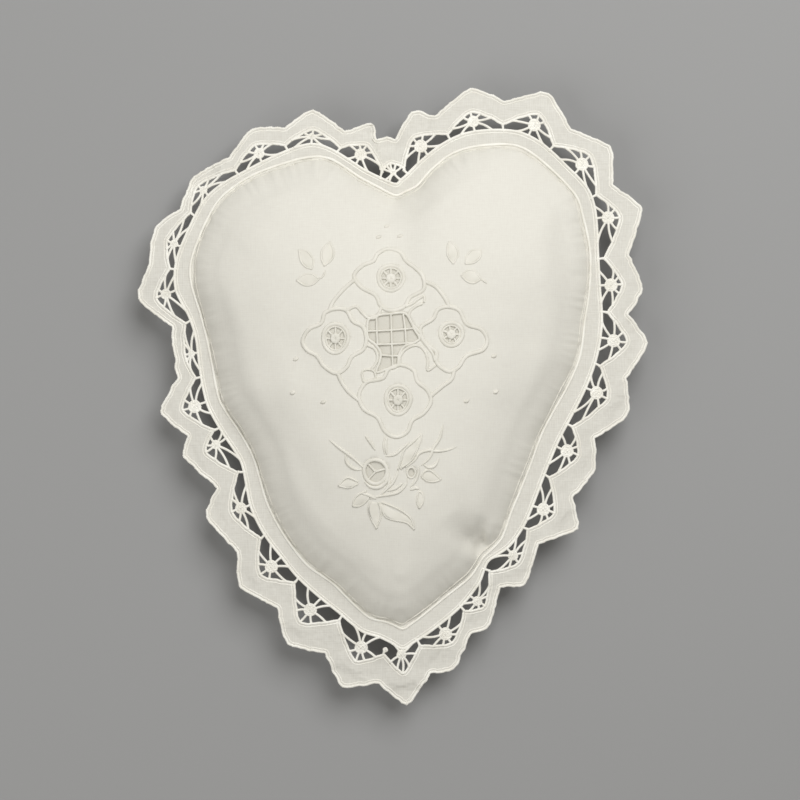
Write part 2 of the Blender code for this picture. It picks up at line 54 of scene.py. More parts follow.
# --- Studio ---
# The pillow lies on a plain pale table under one big soft light from the upper right and a weak fill.
# The camera hangs straight above it.


def linear(code):
    """A colour written as sRGB hex, as Blender's linear values."""
    parts = [int(code[i:i + 2], 16) / 255 for i in (0, 2, 4)]
    return [p / 12.92 if p <= 0.04045 else ((p + 0.055) / 1.055) ** 2.4 for p in parts] + [1]


def start_material(name, roughness, sheen=0.0, specular=0.5):
    """A new material with its Principled BSDF and what is the same all over it."""
    material = bpy.data.materials.new(name)
    material.use_nodes = True
    shader = material.node_tree.nodes["Principled BSDF"]
    shader.inputs["Roughness"].default_value = roughness
    shader.inputs["Sheen Weight"].default_value = sheen
    shader.inputs["Specular IOR Level"].default_value = specular
    return material, shader


bpy.ops.object.select_all(action="DESELECT")
scene = bpy.context.scene
scene.view_settings.view_transform = "Standard"
CAMERA_HEIGHT = 1.1
VIEW_WIDTH = 0.4
BORDER_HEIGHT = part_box("border_flange")[1].z
VIEW_MIDDLE = Vector((3.5 * MM, -1.5 * MM, BORDER_HEIGHT))

bpy.ops.object.camera_add(location=VIEW_MIDDLE + Vector((0, 0, CAMERA_HEIGHT)), rotation=(0, 0, 0))
camera = bpy.context.object
camera.data.sensor_width = 36
camera.data.lens = camera.data.sensor_width * CAMERA_HEIGHT / VIEW_WIDTH
scene.camera = camera

bpy.ops.mesh.primitive_plane_add(size=4)
table = bpy.context.object
table.name = "table"
# Painted board: pale, even and dull.
painted_board, shader = start_material("painted_board", roughness=0.85)
shader.inputs["Base Color"].default_value = linear("9C9C9C")
table.data.materials.append(painted_board)


def add_light(name, place, size, power):
    """A square soft light that faces the pillow."""
    bpy.ops.object.light_add(type="AREA", location=place)
    light = bpy.context.object
    light.name = name
    light.rotation_euler = (-Vector(place)).to_track_quat("-Z", "Y").to_euler()
    light.data.size = size
    light.data.energy = power


add_light("window_light", (0.42, 0.75, 1.15), size=1.0, power=16.2)
add_light("fill_light", (-0.9, -0.5, 1.0), size=1.2, power=6)
world = bpy.data.worlds.new("studio")
scene.world = world
world.use_nodes = True
background = world.node_tree.nodes["Background"]
background.inputs["Color"].default_value = linear("F4F1E9")
background.inputs["Strength"].default_value = 0.28

# --- Flange ---
# The inner ring of the border is plain cotton, sewn into the pillow's seam all round.
# It lies nearly flat and droops a little towards its stitched edge.

CLOTH = 0.5 * MM


def rims(node):
    """The closed runs of points round a flat ring's upper face, the longest first, anticlockwise."""
    ring = bmesh.new()
    ring.from_mesh(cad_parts[node].data)
    bmesh.ops.remove_doubles(ring, verts=ring.verts, dist=1e-6)
    ring.normal_update()
    ways = {}
    for edge in ring.edges:
        upper = [face.normal.z > 0.3 for face in edge.link_faces]
        if sorted(upper) == [False, True]:
            for vert in edge.verts:
                ways.setdefault(vert.index, []).append(edge.other_vert(vert).index)
    places = {vert.index: vert.co.copy() for vert in ring.verts}
    ring.free()
    runs = []
    while ways:
        run = [next(iter(ways))]
        following = ways.pop(run[0])[0]
        while following in ways:
            run.append(following)
            nexts = [index for index in ways.pop(following) if index in ways]
            following = nexts[0] if nexts else None
        points = [places[index] for index in run]
        area = sum(a.x * b.y - b.x * a.y for a, b in zip(points, points[1:] + points[:1]))
        runs.append((abs(area), points if area > 0 else points[::-1]))
    return [points for size, points in sorted(runs, key=lambda run: -run[0])]


def smooth(points, steps, closed=True):
    """A smooth curve through some points, with this many steps between each two."""
    p = np.array([tuple(point) for point in points], float)
    if closed:
        a, b, c, d = np.roll(p, 1, 0), p, np.roll(p, -1, 0), np.roll(p, -2, 0)
    else:
        b, c = p[:-1], p[1:]
        a = np.vstack((2 * p[0] - p[1], p[:-2]))
        d = np.vstack((p[2:], 2 * p[-1] - p[-2]))
    curve = []
    for t in np.arange(steps) / steps:
        curve.append(b + (c - a) * t / 2 + (2 * a - 5 * b + 4 * c - d) * t ** 2 / 2
                     + (3 * b - 3 * c + d - a) * t ** 3 / 2)
    curve = np.stack(curve, 1).reshape(-1, p.shape[1])
    return curve if closed else np.vstack((curve, p[-1:]))


def spaced(points, spacing, closed=True):
    """Points at even distances along a run of points."""
    p = np.vstack((points, points[:1])) if closed else np.array(points)
    along = np.concatenate(([0], np.cumsum(np.linalg.norm(np.diff(p, axis=0), axis=1))))
    count = max(2, round(along[-1] / spacing))
    places = np.linspace(0, along[-1], count + 1)[:-1 if closed else None]
    return np.stack([np.interp(places, along, p[:, axis]) for axis in range(p.shape[1])], 1)


def ways_out(outline):
    """The flat direction out of an anticlockwise outline at each of its points."""
    along = np.roll(outline, -1, 0)[:, :2] - np.roll(outline, 1, 0)[:, :2]
    out = np.stack((along[:, 1], -along[:, 0]), 1)
    return out / np.linalg.norm(out, axis=1, keepdims=True)


def flat_tree(points):
    """A search tree of flat points."""
    tree = kdtree.KDTree(len(points))
    for number, (x, y) in enumerate(points):
        tree.insert((x, y, 0), number)
    tree.balance()
    return tree


border_rings = [rims(node) for node in ("border_flange", "flange_edge_stitch", "band_inner_stitch",
                                        "scalloped_band", "band_outer_stitch")]
border_points = [point for runs in border_rings for run in runs for point in run]
border_tree = flat_tree([point.xy for point in border_points])
seam_outline = spaced(smooth(rims("border_flange")[1], 6)[:, :2], 1.2 * MM)
seam_tree = flat_tree(seam_outline)
WAVE_HEIGHT = 1.6 * MM
WAVE_LENGTH = 26 * MM
BORDER_SPACING = 1.6 * MM        # between the points of its mesh
BORDER_WIDTH = 38 * MM           # from the seam to the outermost points, where the waves are highest
RING_LEVEL = 0.6 * MM            # from the top of the model's rings down to the middle of the cloth
RING_SPREAD = 3 * MM             # how gradually one ring's height passes into the next
# The fold beside the cleft: the line it lies along, its height, its steep side and how far it runs out.
LAP = Vector((-10.2 * MM, 132 * MM)), Vector((-5.8 * MM, 112.5 * MM))
LAP_HEIGHT = 1.8 * MM
LAP_STEP = 1.2 * MM
LAP_RUN_OUT = 9 * MM


def lapped(x, y):
    """How far the cloth left of the cleft is lifted where it folds over its neighbour."""
    way = LAP[1] - LAP[0]
    from_top = Vector((x, y)) - LAP[0]
    along = from_top.dot(way) / way.length_squared
    left = way.cross(from_top) / -way.length
    if not -0.3 < along < 1.1 or left < -MM:
        return 0
    step = LAP_HEIGHT * min(1, (left + MM) / LAP_STEP)
    return step * math.exp(-max(0, left) / LAP_RUN_OUT) * min(1, 3 * (1.1 - along))


def border_height(x, y):
    """Middle of the border's cloth: between the model's own rings, with the soft waves of hanging cloth."""
    total = weight_sum = 0
    for place, number, gap in border_tree.find_n((x, y, 0), 12):
        weight = 1 / (gap + RING_SPREAD) ** 2
        total += weight * border_points[number].z
        weight_sum += weight
    share = min(1, seam_tree.find((x, y, 0))[2] / BORDER_WIDTH)
    wave = noise.noise(Vector((x, y, 0)) / WAVE_LENGTH)
    wave += 0.4 * noise.noise(Vector((y, x, 1)) * 2.3 / WAVE_LENGTH)
    return total / weight_sum - RING_LEVEL + wave * WAVE_HEIGHT * share + lapped(x, y)


def add_mesh(name, verts, faces, flat=None):
    """A new object from points and faces. flat gives each point its place on the flat cloth."""
    mesh = bpy.data.meshes.new(name)
    mesh.from_pydata([tuple(v) for v in verts], [], [tuple(f) for f in faces])
    if flat is not None:
        layer = mesh.uv_layers.new(name="flat_cloth")
        corners = np.array([loop.vertex_index for loop in mesh.loops])
        layer.data.foreach_set("uv", np.array(flat)[corners].astype(np.float32).ravel())
    mesh.validate()
    piece = bpy.data.objects.new(name, mesh)
    bpy.context.collection.objects.link(piece)
    return piece


def select_only(piece):
    """Makes one piece the selected and active one."""
    bpy.ops.object.select_all(action="DESELECT")
    piece.select_set(True)
    bpy.context.view_layer.objects.active = piece


def finish_with(piece, kind, **settings):
    """Adds a modifier and applies it."""
    select_only(piece)
    modifier = piece.modifiers.new(kind.lower(), kind)
    for name, value in settings.items():
        setattr(modifier, name, value)
    bpy.ops.object.modifier_apply(modifier=modifier.name)


def inside(points, outline):
    """Which flat points lie inside a closed outline."""
    x, y = points[:, 0], points[:, 1]
    odd = np.zeros(len(points), bool)
    for (ax, ay), (bx, by) in zip(outline, np.roll(outline, -1, 0)):
        if ay != by:
            odd ^= ((ay > y) != (by > y)) & (x < (bx - ax) * (y - ay) / (by - ay) + ax)
    return odd


def on_cloth(points, outer, holes):
    """Which flat points lie inside an outline and outside its holes."""
    keep = inside(points, outer)
    for hole in holes:
        keep &= ~inside(points, hole)
    return keep


def flat_sheet(outer, holes, spacing, rows=()):
    """Flat points and triangles of cloth between an outline and its holes, with extra rows of points."""
    lines = [outer] + list(holes)
    points, edges = [], []
    for line in lines:
        start = len(points)
        points.extend(map(tuple, line))
        edges.extend((start + i, start + (i + 1) % len(line)) for i in range(len(line)))
    taken = flat_tree([p for line in (*lines, *rows) for p in line])
    low, high = outer.min(0), outer.max(0)
    row_step = spacing * math.sqrt(3) / 2
    grid = [(x + (row % 2) * spacing / 2, y) for row, y in enumerate(np.arange(low[1], high[1], row_step))
            for x in np.arange(low[0], high[0], spacing)]
    grid = [p for p in grid if taken.find((*p, 0))[2] > 0.6 * spacing]
    grid = np.array(grid + [tuple(p) for line in rows for p in line])
    points.extend(map(tuple, grid[on_cloth(grid, outer, holes)]))
    made = geometry.delaunay_2d_cdt([Vector(p) for p in points], edges, [], 0, 1e-7)
    flat = np.array([tuple(p) for p in made[0]])
    faces = np.array(made[2])
    return flat, faces[on_cloth(flat[faces].mean(1), outer, holes)]


def add_border_cloth(name, outer, hole):
    """A ring of the border's cloth between two outlines."""
    flat, faces = flat_sheet(outer, [hole], BORDER_SPACING)
    verts = [(x, y, border_height(x, y) + CLOTH / 2) for x, y in flat]
    piece = add_mesh(name, verts, faces, flat=flat)
    finish_with(piece, "SOLIDIFY", thickness=CLOTH, offset=-1)
    return piece


def add_node(material, kind, inputs=(), **settings):
    """Adds a node. inputs pairs inputs with sockets or numbers; settings are properties or named inputs."""
    node = material.node_tree.nodes.new("ShaderNode" + kind)
    for name, value in settings.items():
        if hasattr(node, name):
            setattr(node, name, value)
        else:
            node.inputs[name.replace("_", " ")].default_value = value
    for name, value in inputs:
        if isinstance(value, float):
            node.inputs[name].default_value = value
        else:
            material.node_tree.links.new(value, node.inputs[name])
    return node


def dress(material, shader, tone, relief, dark, light, places=(0.35, 0.65), **settings):
    """Finishes a material: a pattern tints it between two tones, and another raises its surface."""
    tint = add_node(material, "ValToRGB", [("Fac", tone)])
    for element, place, colour in zip(tint.color_ramp.elements, places, (dark, light)):
        element.position = place
        element.color = linear(colour)
    bump = add_node(material, "Bump", [("Height", relief)], **settings)
    material.node_tree.links.new(bump.outputs["Normal"], shader.inputs["Normal"])
    material.node_tree.links.new(tint.outputs["Color"], shader.inputs["Base Color"])


def lay(piece, material, slot, *nodes):
    """Gives a finished piece its material, and puts it in the frame in place of the model's own nodes."""
    piece.data.materials.clear()
    piece.data.materials.append(material)
    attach(piece, "root")
    if nodes:
        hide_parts(*nodes)


# Plain-woven cotton: matt, with slightly uneven threads both ways that catch the light.
# Its threads are 0.4 mm apart, too fine to show, so they are drawn 0.9 mm apart.
THREAD_GAP = 0.9 * MM
SLUB = 0.7 * MM                  # width of the thicker and thinner lengths of thread
CRUMPLE = 5 * MM                 # size of the small creases


def woven_cotton(name, dark, light, depth):
    """A plain-woven cotton between two tones; depth is how strongly its threads stand out."""
    material, shader = start_material(name, roughness=0.9, sheen=0.15, specular=0.25)
    laid = add_node(material, "UVMap", uv_map="flat_cloth").outputs["UV"]
    heights = []
    for turn in (0, math.pi / 2):
        turned = add_node(material, "Mapping", [("Vector", laid)], Rotation=(0, 0, turn)).outputs[0]
        drawn_out = add_node(material, "Mapping", [("Vector", turned)], Scale=(1, 0.12, 1)).outputs[0]
        slub = add_node(material, "TexNoise", [("Vector", drawn_out)], Scale=1 / SLUB, Detail=3.0,
                        Roughness=0.6)
        row = add_node(material, "TexWave", [("Vector", turned)], bands_direction="X",
                       Scale=math.tau / 20 / THREAD_GAP, Distortion=1.0, Detail=1.0, Detail_Scale=2.0)
        heights.append((slub.outputs["Fac"], row.outputs["Fac"]))
    slubs = add_node(material, "Math", [(0, heights[0][0]), (1, heights[1][0])], operation="ADD").outputs[0]
    rows = add_node(material, "Math", [(0, heights[0][1]), (1, heights[1][1])], operation="ADD").outputs[0]
    low_rows = add_node(material, "Math", [(0, rows), (1, 0.15)], operation="MULTIPLY").outputs[0]
    close = add_node(material, "Math", [(0, slubs), (1, low_rows)], operation="ADD").outputs[0]
    crumple = add_node(material, "TexNoise", [("Vector", laid)], Scale=1 / CRUMPLE, Detail=4.0,
                       Roughness=0.45)
    crumpled = add_node(material, "Math", [(0, crumple.outputs["Fac"]), (1, 4.0)], operation="MULTIPLY")
    relief = add_node(material, "Math", [(0, close), (1, crumpled.outputs[0])], operation="ADD").outputs[0]
    tone = add_node(material, "Math", [(0, close), (1, 0.44)], operation="MULTIPLY").outputs[0]
    dress(material, shader, tone, relief, dark, light, Strength=depth, Distance=0.12 * MM)
    return material


# One thin layer, so its weave shows more. Its tones are greyer than the pillow's as painted shade: the shaded
# table seen through the single layer.
border_cotton = woven_cotton("open_woven_cotton_painted_shade", "D3D0C7", "E2E0D8", depth=0.35)
flange_edge = spaced(smooth(rims("flange_edge_stitch")[0], 4)[:, :2], 1.2 * MM)
STITCH_WIDTH = 1.5 * MM
flange = add_border_cloth("border_flange_cloth", flange_edge - ways_out(flange_edge) * STITCH_WIDTH * 0.4,
                          seam_outline)
lay(flange, border_cotton, "ivory_cotton", "border_flange")

# --- Scalloped band ---
# The outer ring of the border is the same cotton, cut to 28 uneven scallops on both of its sides.
# It hangs from the wheels and bars of the cutwork, so it waves more than the flange.

CUTWORK_BOW = 0.6 * MM
BORDER_BOW = 0.25 * MM
FRAY = 0.28 * MM                 # how far the worn edge wanders
FRAY_LENGTHS = 4 * MM, 1.7 * MM
# One notch has dropped, where the bar that held it has given way.
LOOSE_NOTCH = Vector((-2.7 * MM, -124.8 * MM))
LOOSE_SAG = Vector((-2.8 * MM, -3 * MM, 0))


def scallops(node, run, bow, fray):
    """A scalloped outline with sharp notches and nearly straight sides, and each scallop's five corners."""
    points = [p + LOOSE_SAG if (p.xy - LOOSE_NOTCH).length < 2.5 * MM else p for p in rims(node)[run]]
    count = len(points)
    turns = [(points[i] - points[i - 1]).xy.cross((points[(i + 1) % count] - points[i]).xy)
             for i in range(count)]
    first = min(range(count), key=lambda i: turns[i])
    points = points[first:] + points[:first] + points[first:first + 1]
    outline, corners = [], []
    for start in range(0, count, 4):
        notch, one, top, two, next_notch = (np.array(p.xy) for p in points[start:start + 5])
        rise = two - one
        out = np.array((rise[1], -rise[0])) / np.linalg.norm(rise)
        side_out = (notch + one) / 2 + out * bow, (two + next_notch) / 2 + out * bow
        bends = notch, side_out[0], one, top, two, side_out[1], next_notch
        straight = spaced(bends, 0.5 * MM, closed=False)
        straight[1:-1] = (straight[:-2] + 2 * straight[1:-1] + straight[2:]) / 4
        outline.append(straight[:-1])
        corners.append((notch, one, top, two, next_notch))
    outline = spaced(np.vstack(outline), 0.6 * MM)
    wander = [fray * (noise.noise(Vector((x, y, 0)) / FRAY_LENGTHS[0])
                      + 0.6 * noise.noise(Vector((x, y, 5)) / FRAY_LENGTHS[1])) for x, y in outline]
    return outline + ways_out(outline) * 2 * np.array(wander)[:, None], corners


cutwork_edge, cutwork_corners = scallops("band_inner_stitch", 1, CUTWORK_BOW, FRAY / 2)
border_edge = scallops("band_outer_stitch", 0, BORDER_BOW, FRAY)[0]
band = add_border_cloth("scalloped_band_cloth", border_edge - ways_out(border_edge) * STITCH_WIDTH * 0.3,
                        cutwork_edge + ways_out(cutwork_edge) * STITCH_WIDTH * 0.3)
lay(band, border_cotton, "ivory_cotton", "scalloped_band")

# --- Stitched edges ---
# Every cut edge of the border is bound with close buttonhole stitch in soft white cotton thread.
# A fine line of running stitch shows on the cloth beside it, where the maker marked out the shape.

EDGE_CORD = 1.3 * MM
MARKING_GAP = 0.75 * MM          # from the bound edge to the running stitch
STITCH_PITCH = 0.8 * MM          # real stitches are 0.4 mm apart, too fine to show, so two are drawn as one
random.seed(5)


def tube(path, up, width, height, pitch=STITCH_PITCH, relief=0.14, sides=8, closed=True, flare=None):
    """Points and faces of a wrapped cord along a path: an oval tube with a slanting ridge for each stitch."""
    p = np.array(path, float)
    up = np.broadcast_to(np.array(up, float), p.shape)
    if closed:
        along = np.roll(p, -1, 0) - np.roll(p, 1, 0)
    else:
        along = np.gradient(p, axis=0)
    along /= np.linalg.norm(along, axis=1, keepdims=True) + 1e-12
    across = np.cross(along, up)
    across /= np.linalg.norm(across, axis=1, keepdims=True) + 1e-12
    over = np.cross(across, along)
    steps = np.linalg.norm(np.diff(p, axis=0), axis=1)
    run = np.concatenate(([0], np.cumsum(steps)))
    ridges = [random.uniform(0.8, 1.2) for ridge in range(int(run[-1] / pitch) + 3)]
    around = np.arange(sides) * math.tau / sides
    phase = run[:, None] / pitch + np.cos(around)[None, :] / math.tau
    strength = np.array(ridges)[np.clip(phase.astype(int), 0, len(ridges) - 1)]
    swell = 1 + relief * strength * np.cos(phase * math.tau)
    size = np.ones(len(p)) if flare is None else np.array(flare)
    swell = swell * size[:, None]
    verts = (p[:, None, :] + across[:, None, :] * (np.cos(around) * width / 2 * swell)[:, :, None]
             + over[:, None, :] * (np.sin(around) * height / 2 * swell)[:, :, None])
    count = len(p)
    faces = []
    for i in range(count if closed else count - 1):
        a, b = i * sides, (i + 1) % count * sides
        faces.extend((a + k, a + (k + 1) % sides, b + (k + 1) % sides, b + k) for k in range(sides))
    if not closed:
        faces.append(tuple(range(sides - 1, -1, -1)))
        faces.append(tuple(range((count - 1) * sides, count * sides)))
    return verts.reshape(-1, 3), faces


def add_cords(name, tubes):
    """One piece from several cords."""
    verts, faces, start = [], [], 0
    for points, sides in tubes:
        verts.append(points)
        faces.extend(tuple(index + start for index in face) for face in sides)
        start += len(points)
    piece = add_mesh(name, np.vstack(verts), faces)
    select_only(piece)
    bpy.ops.object.mode_set(mode="EDIT")
    bpy.ops.mesh.select_all(action="SELECT")
    bpy.ops.mesh.normals_make_consistent(inside=False)
    bpy.ops.object.mode_set(mode="OBJECT")
    bpy.ops.object.shade_smooth()
    return piece


STRAND = 0.5 * MM                # a strand's own width, which roughens every cord


def spun_cotton(name, dark, light, patch, depth, **finish):
    """A cotton thread between two tones that change over patches; depth is how rough its strands make it."""
    material, shader = start_material(name, **finish)
    here = add_node(material, "TexCoord").outputs["Object"]
    strands = add_node(material, "TexNoise", [("Vector", here)], Scale=1 / STRAND, Detail=2.0)
    patches = add_node(material, "TexNoise", [("Vector", here)], Scale=1 / patch, Detail=1.0)
    dress(material, shader, patches.outputs["Fac"], strands.outputs["Fac"], dark, light, **depth)
    return material


# Mercerised cotton thread: whiter than the cloth, with a soft sheen along the strands.
thread = spun_cotton("mercerised_cotton_thread", "F0EDE3", "FAF8F0", patch=9 * MM,
                     depth={"Strength": 0.4, "Distance": 0.15 * MM}, roughness=0.6, sheen=0.25, specular=0.35)


def on_border(flat, lift=0.0):
    """Flat points raised to the border's cloth."""
    return np.array([(x, y, border_height(x, y) + lift) for x, y in flat])


def add_stitched_edge(name, outline, side, node, ragged):
    """The bound edge along an outline. side is 1 where the cloth is inside it, and -1 where it is outside."""
    fine = spaced(outline, STITCH_PITCH / 3)
    out = ways_out(fine)
    bound = on_border(fine - out * side * EDGE_CORD / 2, 0.1 * MM)
    tubes = [tube(bound, (0, 0, 1), EDGE_CORD, 1.1 * MM, relief=ragged)]
    marked = spaced(outline, 0.6 * MM)
    run = on_border(marked - ways_out(marked) * side * (EDGE_CORD + MARKING_GAP), CLOTH / 2)
    tubes.append(tube(run, (0, 0, 1), 0.55 * MM, 0.4 * MM, pitch=2 * MM, relief=0.2, sides=6))
    lay(add_cords(name, tubes), thread, "lace_thread", node)


add_stitched_edge("flange_edge_stitching", flange_edge, 1, "flange_edge_stitch", ragged=0.12)
add_stitched_edge("cutwork_edge_stitching", cutwork_edge, -1, "band_inner_stitch", ragged=0.12)
add_stitched_edge("border_edge_stitching", border_edge, 1, "band_outer_stitch", ragged=0.2)

# --- Woven wheels and bars ---
# Each scallop's opening is filled with a wheel of thread: wrapped strands, darned together at a round hub.
# A short wrapped bar holds each notch of the band to the flange.

SPOKE = 1.25 * MM
HUB_STRAND = 1.15 * MM
HUB_ROUNDS = (0.14, 0.38, 0.62, 0.86)
FULL_HUB = 3.2 * MM
SMALLEST_HUB = 1.5 * MM
OVERLAP = 0.9 * MM               # how far a strand runs into the stitched edge that holds it


def wheel_plan(node):
    """A wheel's middle and its hub's radius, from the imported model."""
    outline = [point.xy for point in rims(node)[0]]
    places = [vert.co.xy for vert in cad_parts[node].data.vertices]
    middle = max(places, key=lambda place: min((place - point).length for point in outline))
    radius = min((point - middle).length for point in outline)
    if radius < SMALLEST_HUB:
        low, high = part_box(node)
        return np.array(((low + high) / 2).xy), SMALLEST_HUB
    return np.array(middle), radius


def circle(radius, spacing):
    """Points round a flat circle."""
    turns = np.linspace(0, math.tau, max(8, round(math.tau * radius / spacing)), endpoint=False)
    return np.stack((np.cos(turns), np.sin(turns)), 1) * radius, turns


def wheel_hub(middle, radius, strands):
    """The darned hub: rounds of thread that pass over and under the strands."""
    tubes = []
    for number, share in enumerate(HUB_ROUNDS):
        ring, turns = circle(radius * share, 0.45 * MM)
        weave = np.cos(turns * strands / 2 + number * math.pi) * 0.14 * MM
        ring = ring * (1 + 0.03 * np.sin(turns * 3 + number))[:, None] + np.array(middle)
        path = np.column_stack((ring, on_border(ring)[:, 2] + weave + (1 - share) * 0.3 * MM))
        width = HUB_STRAND * radius / FULL_HUB
        tubes.append(tube(path, (0, 0, 1), width, HUB_STRAND, relief=0.05, sides=6))
    return tubes


def strand(start, end, bow):
    """A wrapped strand between two flat points, a little bowed, and thicker where it is fastened."""
    start, end = np.array(start), np.array(end)
    length = np.linalg.norm(end - start)
    t = np.linspace(0, 1, max(6, round(length / (0.3 * MM))))
    side = np.array((start[1] - end[1], end[0] - start[0])) / length
    flat = start + (end - start) * t[:, None] + side * (bow * length * 4 * t * (1 - t))[:, None]
    flare = 1 + 0.35 * np.exp(-((1 - t) * length / (0.8 * MM)) ** 2)
    return tube(on_border(flat, 0.1 * MM), (0, 0, 1), SPOKE, SPOKE * 0.9, relief=0.1, sides=6, closed=False,
                flare=flare)


def edge_finder(outline, shift):
    """A function that gives the nearest point of a stitched edge, shifted outward to its cord's middle."""
    tree = flat_tree(outline)
    cord_middle = outline + ways_out(outline) * shift
    return lambda point: cord_middle[tree.find((*point, 0))[1]]


on_flange = edge_finder(flange_edge, -EDGE_CORD / 2)
on_band = edge_finder(cutwork_edge, EDGE_CORD / 2)


def strand_ends(middle, corners):
    """Where a wheel's eight strands are fastened: round its scallop and along the flange."""
    notch, one, top, two, next_notch = corners
    foot, next_foot, near = on_flange(notch), on_flange(next_notch), on_flange(middle)
    share = [random.uniform(0.3, 0.55) for end in range(4)]
    at_band = [top, one + (notch - one) * 0.12, two + (next_notch - two) * 0.12,
               notch + (one - notch) * share[0], next_notch + (two - next_notch) * share[1]]
    at_flange = [foot + (near - foot) * share[2], next_foot + (near - next_foot) * share[3], near]
    return [on_band(point) for point in at_band] + [on_flange(point) for point in at_flange]


# The wheel in the tip is as large as the rest, and hangs nearer the flange than the model's own.
TIP_WHEEL = 15
TIP_HUB = np.array((4.2, -128.8)) * MM, 2.4 * MM
random.seed(11)
for number in range(1, 29):
    node = f"lace_wheel_{number:02d}"
    middle, radius = TIP_HUB if number == TIP_WHEEL else wheel_plan(node)
    corners = min(cutwork_corners,
                  key=lambda five: np.linalg.norm((five[0] + five[2] + five[4]) / 3 - middle))
    ends = strand_ends(middle, corners)
    tubes = wheel_hub(middle, radius, len(ends))
    for end in ends:
        way = (end - middle) / np.linalg.norm(end - middle)
        bow = random.uniform(0.02, 0.09) * random.choice((-1, 1))
        tubes.append(strand(middle + way * radius * 0.5, end + way * 0.3 * MM, bow))
    lay(add_cords(f"woven_wheel_{number:02d}", tubes), thread, "lace_thread", node)

# One bar has given way: its end is left as a small round knob on the band's notch.
KNOB_RING = 0.55 * MM
KNOB = 1.7 * MM
bars = []
for notch, one, top, two, next_notch in cutwork_corners:
    foot = on_flange(notch)
    way = (notch - foot) / np.linalg.norm(notch - foot)
    if (Vector(notch) - LOOSE_NOTCH - LOOSE_SAG.xy).length < 3 * MM:
        bars.append(strand(notch + way * OVERLAP, notch - way * MM, 0.05))
        knob = circle(KNOB_RING, 0.3 * MM)[0] + notch - way * 1.5 * MM
        bars.append(tube(on_border(knob, 0.1 * MM), (0, 0, 1), KNOB, 1.4 * MM, relief=0.08, sides=8))
    else:
        bars.append(strand(foot - way * OVERLAP, notch + way * OVERLAP, 0.05))
lay(add_cords("notch_bars", bars), thread, "lace_thread")

# --- Fibre filling ---
# A loose mass of polyester fibre, which swells until its casing is full.
# It settles flat on the table, rises to a soft crown, and lies a little unevenly.

VOXEL = 4 * MM
SEAM_LEVEL = (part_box("front_cover")[0].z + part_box("back_cover")[1].z) / 2
MOST_SWELL = 5 * MM
LUMP = 0.7 * MM
LUMP_LENGTH = 42 * MM
# Folds where the filling is pinched: start at the seam, end, depth and width, in millimetres.
FOLDS = (
    ((43, -77), (43.5, -58), 4.5, 2.4),
    ((43, -77), (28, -58), 5.0, 6.5),
    ((43, -77), (53, -64), 1.5, 3.5),
    ((1, 97), (-6, 82), 1.3, 4),
    ((1, 97), (11, 86), 0.9, 4),
    ((82, 88), (85, 30), 0.8, 7),
)
REST = 0.9 * MM                  # the lowest that any cloth lies over the table
RIM = 0.75                       # how much of its height the front keeps where the seam pulls it down
RIM_WIDTH = 16 * MM


def copy_of(node, name):
    """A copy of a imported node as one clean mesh."""
    piece = bpy.data.objects.new(name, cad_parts[node].data.copy())
    bpy.context.collection.objects.link(piece)
    piece.data.materials.clear()
    select_only(piece)
    bpy.ops.object.mode_set(mode="EDIT")
    bpy.ops.mesh.select_all(action="SELECT")
    bpy.ops.mesh.remove_doubles(threshold=1e-6)
    bpy.ops.mesh.normals_make_consistent(inside=False)
    bpy.ops.object.mode_set(mode="OBJECT")
    return piece


def points_of(piece):
    """A mesh's points as an array."""
    points = np.zeros(len(piece.data.vertices) * 3)
    piece.data.vertices.foreach_get("co", points)
    return points.reshape(-1, 3)


def move_points(piece, points):
    """Gives a mesh's points new places."""
    piece.data.vertices.foreach_set("co", np.asarray(points, float).ravel())
    piece.data.update()


def swell(piece, pressure, frames):
    """Blows a closed mesh up as cloth, its rim held at the seam, and caps how far a point may move."""
    start = points_of(piece)
    held = piece.vertex_groups.new(name="seam")
    at_seam = [i for i, (x, y, z) in enumerate(start)
               if abs(z - SEAM_LEVEL) < 2.5 * MM and seam_tree.find((x, y, 0))[2] < 5 * MM]
    held.add(at_seam, 1.0, "ADD")
    cloth = piece.modifiers.new("cloth", "CLOTH")
    cloth.settings.use_pressure = True
    cloth.settings.uniform_pressure_force = pressure
    cloth.settings.effector_weights.gravity = 0
    cloth.settings.vertex_group_mass = "seam"
    cloth.settings.mass = 0.15
    for step in range(1, frames + 1):
        scene.frame_set(step)
    swollen = piece.evaluated_get(bpy.context.evaluated_depsgraph_get())
    end = np.array([tuple(v.co) for v in swollen.data.vertices])
    piece.modifiers.remove(cloth)
    scene.frame_set(1)
    moved = end - start
    far = np.linalg.norm(moved, axis=1, keepdims=True)
    move_points(piece, start + moved * np.minimum(1, MOST_SWELL / (far + 1e-9)))


def ramp(value, low, high):
    """A smooth step from 0 to 1 between two values."""
    t = min(1, max(0, (value - low) / (high - low)))
    return t * t * (3 - 2 * t)


def fold_depth(x, y):
    """How deep the pinched folds are at a flat point."""
    depth = 0
    for start, end, most, width in FOLDS:
        start, end = Vector(start) * MM, Vector(end) * MM
        way = end - start
        t = min(1, max(0, (Vector((x, y)) - start).dot(way) / way.length_squared))
        gap = (Vector((x, y)) - start - way * t).length / (width * MM * (0.5 + 0.8 * t))
        depth += most * MM * min(1, 1.6 * (1 - t)) * math.exp(-gap * gap)
    return depth


